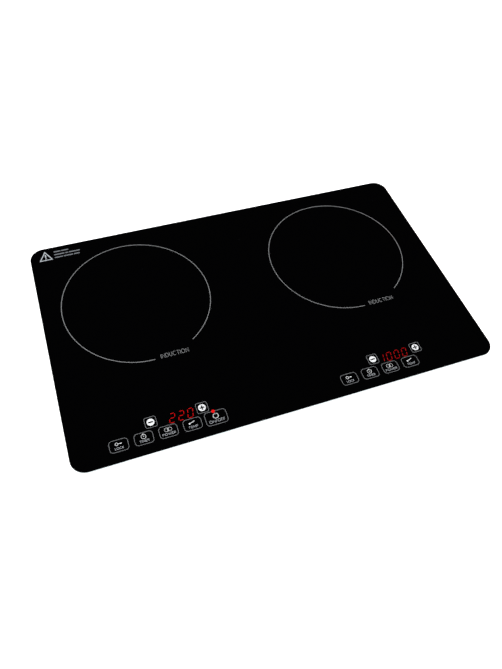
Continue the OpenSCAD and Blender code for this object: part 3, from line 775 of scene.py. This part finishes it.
BOARD_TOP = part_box("power_board_left")[1].z
POWER_XY = (186 * MM, 30 * MM)
FILTER_Y = 95 * MM
CHOKE_R = 11 * MM
CHOKE_HALF = (4.5 * MM, 7 * MM)
CHOKE_TURNS = 22
CHOKE_WOUND = 0.94
WIRE_R = 0.85 * MM


def choke_parts(core, wire, centre):
    """A ring core standing on the board at centre, and the wire wound round it."""
    half_w, half_h = CHOKE_HALF[0] - 2 * WIRE_R, CHOKE_HALF[1] - 2 * WIRE_R
    middle_z = BOARD_TOP + CHOKE_HALF[1]
    section = rounded_loop(2 * half_w, 2 * half_h, 1.2 * MM, steps=3, centre=(CHOKE_R, middle_z))
    lathe(core, section, centre)
    per_turn = 20
    points = []
    reach_w, reach_h = CHOKE_HALF[0] - WIRE_R, CHOKE_HALF[1] - WIRE_R
    loop = rounded_loop(2 * reach_w, 2 * reach_h, 2 * MM, steps=per_turn // 4 - 1, centre=(CHOKE_R, middle_z))
    count = CHOKE_TURNS * per_turn
    for i in range(count):
        turn = 2 * math.pi * CHOKE_WOUND * i / count
        out, z = loop[i % per_turn]
        points.append(Vector((centre[0] + out * math.cos(turn), centre[1] + out * math.sin(turn), z)))
    tube(wire, points, WIRE_R)


def power_board_parts(side, copper_wire, sleeve):
    """The choke and the capacitors of one power board."""
    x = SIDES[side] * POWER_XY[0]
    core, wire = bmesh.new(), bmesh.new()
    choke_parts(core, wire, (x + SIDES[side] * 45 * MM, POWER_XY[1] + 18 * MM))
    add_piece(f"choke_core_{side}", core, "ferrite", [f"choke_{side}"])
    add_piece(f"choke_wire_{side}", wire, "copper", materials=[copper_wire])
    row_y = POWER_XY[1] + 46 * MM
    film, can = bmesh.new(), bmesh.new()
    for offset in (-50, -10):
        middle = Vector((x + SIDES[side] * offset * MM, row_y, BOARD_TOP))
        half = Vector((17, 6.5, 0)) * MM
        soft_box(film, middle - half, middle + half + Vector((0, 0, 17 * MM)), 1.2 * MM)
    centre = (x + SIDES[side] * 57 * MM, row_y)
    profile = ((0, 0), (5.6, 0), (6, 0.5), (6, 2.2), (5.5, 2.8), (5.5, 3.3), (6, 3.9), (6, 16.4), (5.4, 17),
               (4.6, 16.8), (0, 16.8))
    lathe(can, [(r * MM, BOARD_TOP + z * MM) for r, z in profile], centre)
    add_piece(f"film_capacitors_{side}", film, "capacitor_shell", [f"capacitors_{side}"])
    add_piece(f"round_capacitor_{side}", can, "capacitor_shell", materials=[sleeve])


def filter_board_parts(copper_wire):
    """Choke, capacitors, relay and fuse of the mains filter."""
    core, wire = bmesh.new(), bmesh.new()
    choke_parts(core, wire, (-28 * MM, FILTER_Y - 22 * MM))
    add_piece("filter_core", core, "ferrite", ["filter_parts"])
    add_piece("filter_wire", wire, "copper", materials=[copper_wire])
    boxes = bmesh.new()
    for y in (-34, -18):
        low = Vector((2 * MM, FILTER_Y + (y - 6) * MM, BOARD_TOP))
        soft_box(boxes, low, low + Vector((32, 12, 16)) * MM, 1 * MM)
    add_piece("filter_capacitors", boxes, "filter_parts")
    relay = bmesh.new()
    low = Vector((12 * MM, FILTER_Y - 3.5 * MM, BOARD_TOP))
    soft_box(relay, low, low + Vector((28, 15, 16)) * MM, 0.8 * MM)
    add_piece("filter_relay", relay, "chip_plastic")
    fuse = bmesh.new()
    y, z = FILTER_Y + 12 * MM, BOARD_TOP + 4 * MM
    for start, end, radius, material in ((-36, -30.5, 3, 1), (-30.5, -17.5, 2.5, 0), (-17.5, -12, 3, 1)):
        steps = [Vector((start + (end - start) * i / 4, 0, 0)) * MM + Vector((0, y, z)) for i in range(5)]
        tube(fuse, steps, radius * MM, sides=24, material=material)
    fuse_finishes = [finishes["sensor_ceramic"], finishes["bright_steel"]]
    add_piece("filter_fuse", fuse, "sensor_ceramic", materials=fuse_finishes)


def coil_wire(side):
    """The flat spiral of one coil, and its two ends down to the power board."""
    middle = middle_of(f"coil_winding_{side}")
    inner_r, pitch, clearance = 27 * MM, 3.8 * MM, 0.02 * MM
    turns, steps = 16, 60
    points = []
    for i in range(turns * steps + 1):
        radius = inner_r + pitch * i / steps
        turn = 2 * math.pi * i / steps
        points.append(middle + Vector((radius * math.cos(turn), radius * math.sin(turn), 0)))
    spiral = bmesh.new()
    tube(spiral, points, pitch / 2 - clearance, sides=10)
    add_piece(f"coil_spiral_{side}", spiral, "copper", [f"coil_winding_{side}"])
    low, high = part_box(f"coil_leads_{side}")
    ends = bmesh.new()
    ring = ((1.9, 0.1), (4.6, 0), (5, 0.2), (5, 1), (4.6, 1.2), (1.9, 1.1))
    for x in (low.x + 5 * MM, high.x - 5 * MM):
        count = 24
        steps = [Vector((x, middle.y, low.z + (high.z - low.z) * i / count)) for i in range(count + 1)]
        tube(ends, steps, 1.8 * MM, sides=12)
        lathe(ends, [(r * MM, low.z + z * MM) for r, z in ring], (x, middle.y), steps=32, material=1)
    end_finishes = [finishes["copper"], finishes["bright_steel"]]
    add_piece(f"coil_ends_{side}", ends, "copper", [f"coil_leads_{side}"], end_finishes)


def sense_springs(side):
    """A wound spring under every key, between a foot on the board and a pad against the glass."""
    low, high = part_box(f"touch_springs_{side}")
    centres = [key_centre(side, i) for i in range(len(LABELS))]
    centres += [step_key_centre(side, x) for x in (MINUS_X, PLUS_X)]
    if side == "left":
        centres.append(power_key_centre(side))
    coil_r, pad, wire = 3.5 * MM, 0.6 * MM, 0.35 * MM
    turns, steps = 6, 24
    shape = bmesh.new()
    for centre in centres:
        for z in (low.z, high.z - pad):
            lathe(shape, [(0, z), (4 * MM, z), (4 * MM, z + pad), (0, z + pad)], centre, steps=32)
        span = high.z - low.z - 2 * pad - 2 * wire
        points = []
        for i in range(turns * steps + 1):
            turn = 2 * math.pi * i / steps
            z = low.z + pad + wire + span * i / (turns * steps)
            x, y = centre + coil_r * Vector((math.cos(turn), math.sin(turn)))
            points.append(Vector((x, y, z)))
        tube(shape, points, wire, sides=6)
    add_piece(f"sense_springs_{side}", shape, "bright_steel", [f"touch_springs_{side}"])


def ribbon_cables(marked):
    """A flat cable from each touch board to its power board, with a marked edge core."""
    low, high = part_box("ribbon_cables")
    core, cores = 0.4 * MM, 25
    drop_y, run_z = -120.6 * MM, 24.4 * MM
    shape = bmesh.new()
    for side in SIDES.values():
        for i in range(cores):
            x = side * (high.x - core - 2 * core * i)
            corners = [(x, low.y, high.z - core), (x, drop_y, high.z - core), (x, drop_y, run_z),
                       (x, high.y - core, run_z), (x, high.y - core, low.z)]
            tube(shape, bent_path(corners, 2.5 * MM), core, sides=8, material=1 if i == 0 else 0)
    add_piece("flat_cables", shape, "ribbon", ["ribbon_cables"], [finishes["ribbon"], marked])


def rubber_feet():
    """Feet with a recessed middle and a barb that snaps through the floor of the pan."""
    low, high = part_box("rubber_feet")
    top = high.z - 2.7 * MM
    reach = 12 * MM
    profile = [(0, 2.2 * MM), (3.8 * MM, 2.2 * MM), (4.3 * MM, 1.7 * MM), (4.4 * MM, 0.5 * MM), (5 * MM, 0),
               (9.2 * MM, 0), (10.1 * MM, 0.4 * MM), (10.6 * MM, 1.3 * MM), (11.7 * MM, 5 * MM),
               (reach, 5.6 * MM), (11.8 * MM, top), (3 * MM, top), (2.9 * MM, top + 1.3 * MM),
               (3.5 * MM, top + 1.6 * MM), (2.4 * MM, high.z), (0, high.z)]
    shape = bmesh.new()
    for x in (low.x + reach, high.x - reach):
        for y in (low.y + reach, high.y - reach):
            lathe(shape, profile, (x, y))
    add_piece("rubber_feet_turned", shape, "foot_rubber", ["rubber_feet"])


def type_plate_print(material):
    """A printed border and plain bars on the type plate's face, which looks down."""
    low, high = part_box("rating_plate")
    flat = Flat(low.z + 0.03 * MM, 0.06 * MM)
    middle = (low + high).xy / 2
    border = rounded_loop(high.x - low.x - 5 * MM, high.y - low.y - 5 * MM, 2 * MM, centre=middle)
    flat.stroke(border + border[:1], 0.5 * MM)
    for row, length in enumerate((30, 52, 46, 58, 40)):
        y = middle.y + (11 - 5 * row) * MM
        x = middle.x - 30 * MM
        flat.stroke([(x, y), (x + length * MM, y)], (2.2 if row == 0 else 1.2) * MM)
    add_piece("type_plate_print", flat.shape, materials=[material])


frame_print = enamel("frame_print", (0.13, 0.134, 0.14))
icon_print = enamel("icon_print", (0.52, 0.53, 0.54))
label_print = enamel("label_print", (0.27, 0.28, 0.3))
disc_print = enamel("disc_print", (0.54, 0.55, 0.56))
digit_glow = {
    "left": glow("digit_glow_left", (0.8, 0.001, 0.002), (0.98, 0.002, 0.003)),
    "right": glow("digit_glow_right", (0.5, 0.001, 0.002), (0.7, 0.002, 0.003)),
}
lamp_glow = glow("lamp_glow", (0.85, 0.002, 0.003), (0.95, 0.004, 0.005))
copper_wire = enamelled_copper()
dark_print = enamel("dark_print", (0.02, 0.02, 0.022))
sign_print = enamel("caution_sign_print", (0.30, 0.32, 0.34))
bar_print = enamel("caution_bar_print", (0.11, 0.118, 0.128))

make_plate()
for side in SIDES:
    zone_print(side)
    panel_frames(side, frame_print)
    panel_icons(side, icon_print, label_print)
    step_discs(side, disc_print)
    display_digits(side, digit_glow[side])
    power_board_parts(side, copper_wire, plastic("capacitor_sleeve", (0.03, 0.04, 0.09), 0.32))
    coil_wire(side)
    sense_springs(side)
lamp_spot(lamp_glow)
caution_mark(sign_print, bar_print)
filter_board_parts(copper_wire)
ribbon_cables(plastic("marked_core", (0.45, 0.02, 0.02), 0.5))
rubber_feet()
type_plate_print(dark_print)


# ---------------------------------------------------------------- camera, light and floor

CAMERA_AT = Vector((-0.22484, -0.47313, 0.68215 + PLATE_HIGH.z))
CAMERA_LOOKS = Vector((0.23922, 0.50764, -0.82769))
CAMERA_ROLL = 6.855
CAMERA_LENS = 31.38


def make_camera():
    data = bpy.data.cameras.new("camera")
    data.lens = CAMERA_LENS
    data.sensor_width = 36.0
    data.clip_start, data.clip_end = 0.01, 50.0
    camera = bpy.data.objects.new("camera", data)
    turn = CAMERA_LOOKS.to_track_quat("-Z", "Y").to_matrix()
    turn = turn @ Matrix.Rotation(math.radians(CAMERA_ROLL), 3, "Z")
    camera.matrix_world = Matrix.Translation(CAMERA_AT) @ turn.to_4x4()
    bpy.context.scene.collection.objects.link(camera)
    bpy.context.scene.camera = camera


def soft_light(name, at, size, power):
    """A large, even light aimed at the object, which polished faces do not mirror."""
    data = bpy.data.lights.new(name, "AREA")
    data.shape = "RECTANGLE"
    data.size, data.size_y = size
    data.energy = power
    lamp = bpy.data.objects.new(name, data)
    lamp.location = at
    lamp.rotation_mode = "QUATERNION"
    lamp.rotation_quaternion = (-Vector(at)).to_track_quat("-Z", "Y")
    lamp.visible_glossy = False
    bpy.context.scene.collection.objects.link(lamp)


def make_floor():
    """A plain pale floor that glows a little, more so far out, and is open from below."""
    half = 30.0
    mesh = bpy.data.meshes.new("floor")
    corners = [(-half, -half, 0), (half, -half, 0), (half, half, 0), (-half, half, 0)]
    mesh.from_pydata(corners, [], [(0, 1, 2, 3)])
    floor = bpy.data.objects.new("floor", mesh)
    floor.location.z = -0.5 * MM
    bpy.context.scene.collection.objects.link(floor)
    f = Finish("floor", roughness=0.9, Specular_IOR_Level=0.0)
    away = f.node("ShaderNodeVectorMath", Vector=f.place)
    away.operation = "LENGTH"
    far = f.between(away.outputs["Value"], 0.0, 1.0, start=0.6, end=2.2)
    mottle = f.maths("MULTIPLY", f.noise(0.6), 0.05)
    f.colour(f.maths("ADD", far, mottle), [(0.0, (0.84, 0.84, 0.84)), (1.0, (0.05, 0.05, 0.05))])
    f.colour(f.noise(0.6), [(0.3, (0.99, 0.99, 0.99)), (0.7, (1.0, 1.0, 1.0))], socket="Emission Color")
    f.feed(f.shader.inputs["Emission Strength"], f.between(far, 0.72, 1.1, start=0.0, end=1.0))
    clear = f.node("ShaderNodeBsdfTransparent")
    mix = f.node("ShaderNodeMixShader", Fac=f.node("ShaderNodeNewGeometry").outputs["Backfacing"])
    f.tree.links.new(f.shader.outputs["BSDF"], mix.inputs[1])
    f.tree.links.new(clear.outputs["BSDF"], mix.inputs[2])
    f.tree.links.new(mix.outputs["Shader"], f.tree.nodes["Material Output"].inputs["Surface"])
    mesh.materials.append(f.material)


def make_world():
    """White behind the object. Polished faces mirror a room that is dark at the back and soft in front."""
    world = bpy.data.worlds.new("studio")
    world.use_nodes = True
    tree = world.node_tree
    tree.nodes.clear()
    make = tree.nodes.new
    join = tree.links.new
    facing = make("ShaderNodeSeparateXYZ")
    join(make("ShaderNodeTexCoord").outputs["Generated"], facing.inputs["Vector"])
    fade = make("ShaderNodeMapRange")
    fade.interpolation_type = "SMOOTHSTEP"
    for socket, value in (("From Min", 0.27), ("From Max", -0.15), ("To Min", 0.003), ("To Max", 0.5)):
        fade.inputs[socket].default_value = value
    join(facing.outputs["Y"], fade.inputs["Value"])
    room, backdrop = make("ShaderNodeBackground"), make("ShaderNodeBackground")
    join(fade.outputs["Result"], room.inputs["Strength"])
    room.inputs["Color"].default_value = (1.0, 1.0, 1.0, 1.0)
    backdrop.inputs["Color"].default_value = (1.0, 1.0, 1.0, 1.0)
    mix = make("ShaderNodeMixShader")
    join(make("ShaderNodeLightPath").outputs["Is Camera Ray"], mix.inputs["Fac"])
    join(room.outputs["Background"], mix.inputs[1])
    join(backdrop.outputs["Background"], mix.inputs[2])
    join(mix.outputs["Shader"], make("ShaderNodeOutputWorld").inputs["Surface"])
    bpy.context.scene.world = world


make_camera()
make_floor()
make_world()
soft_light("overhead", (0.0, -0.6, 2.6), (4.2, 3.2), 130)
soft_light("front", (-0.6, -3.2, 1.3), (4.0, 1.6), 60)
soft_light("left", (-2.9, 0.0, 1.3), (3.0, 1.6), 40)
soft_light("back", (0.6, 3.2, 0.9), (4.0, 1.0), 40)
bpy.context.scene.view_settings.view_transform = "Standard"
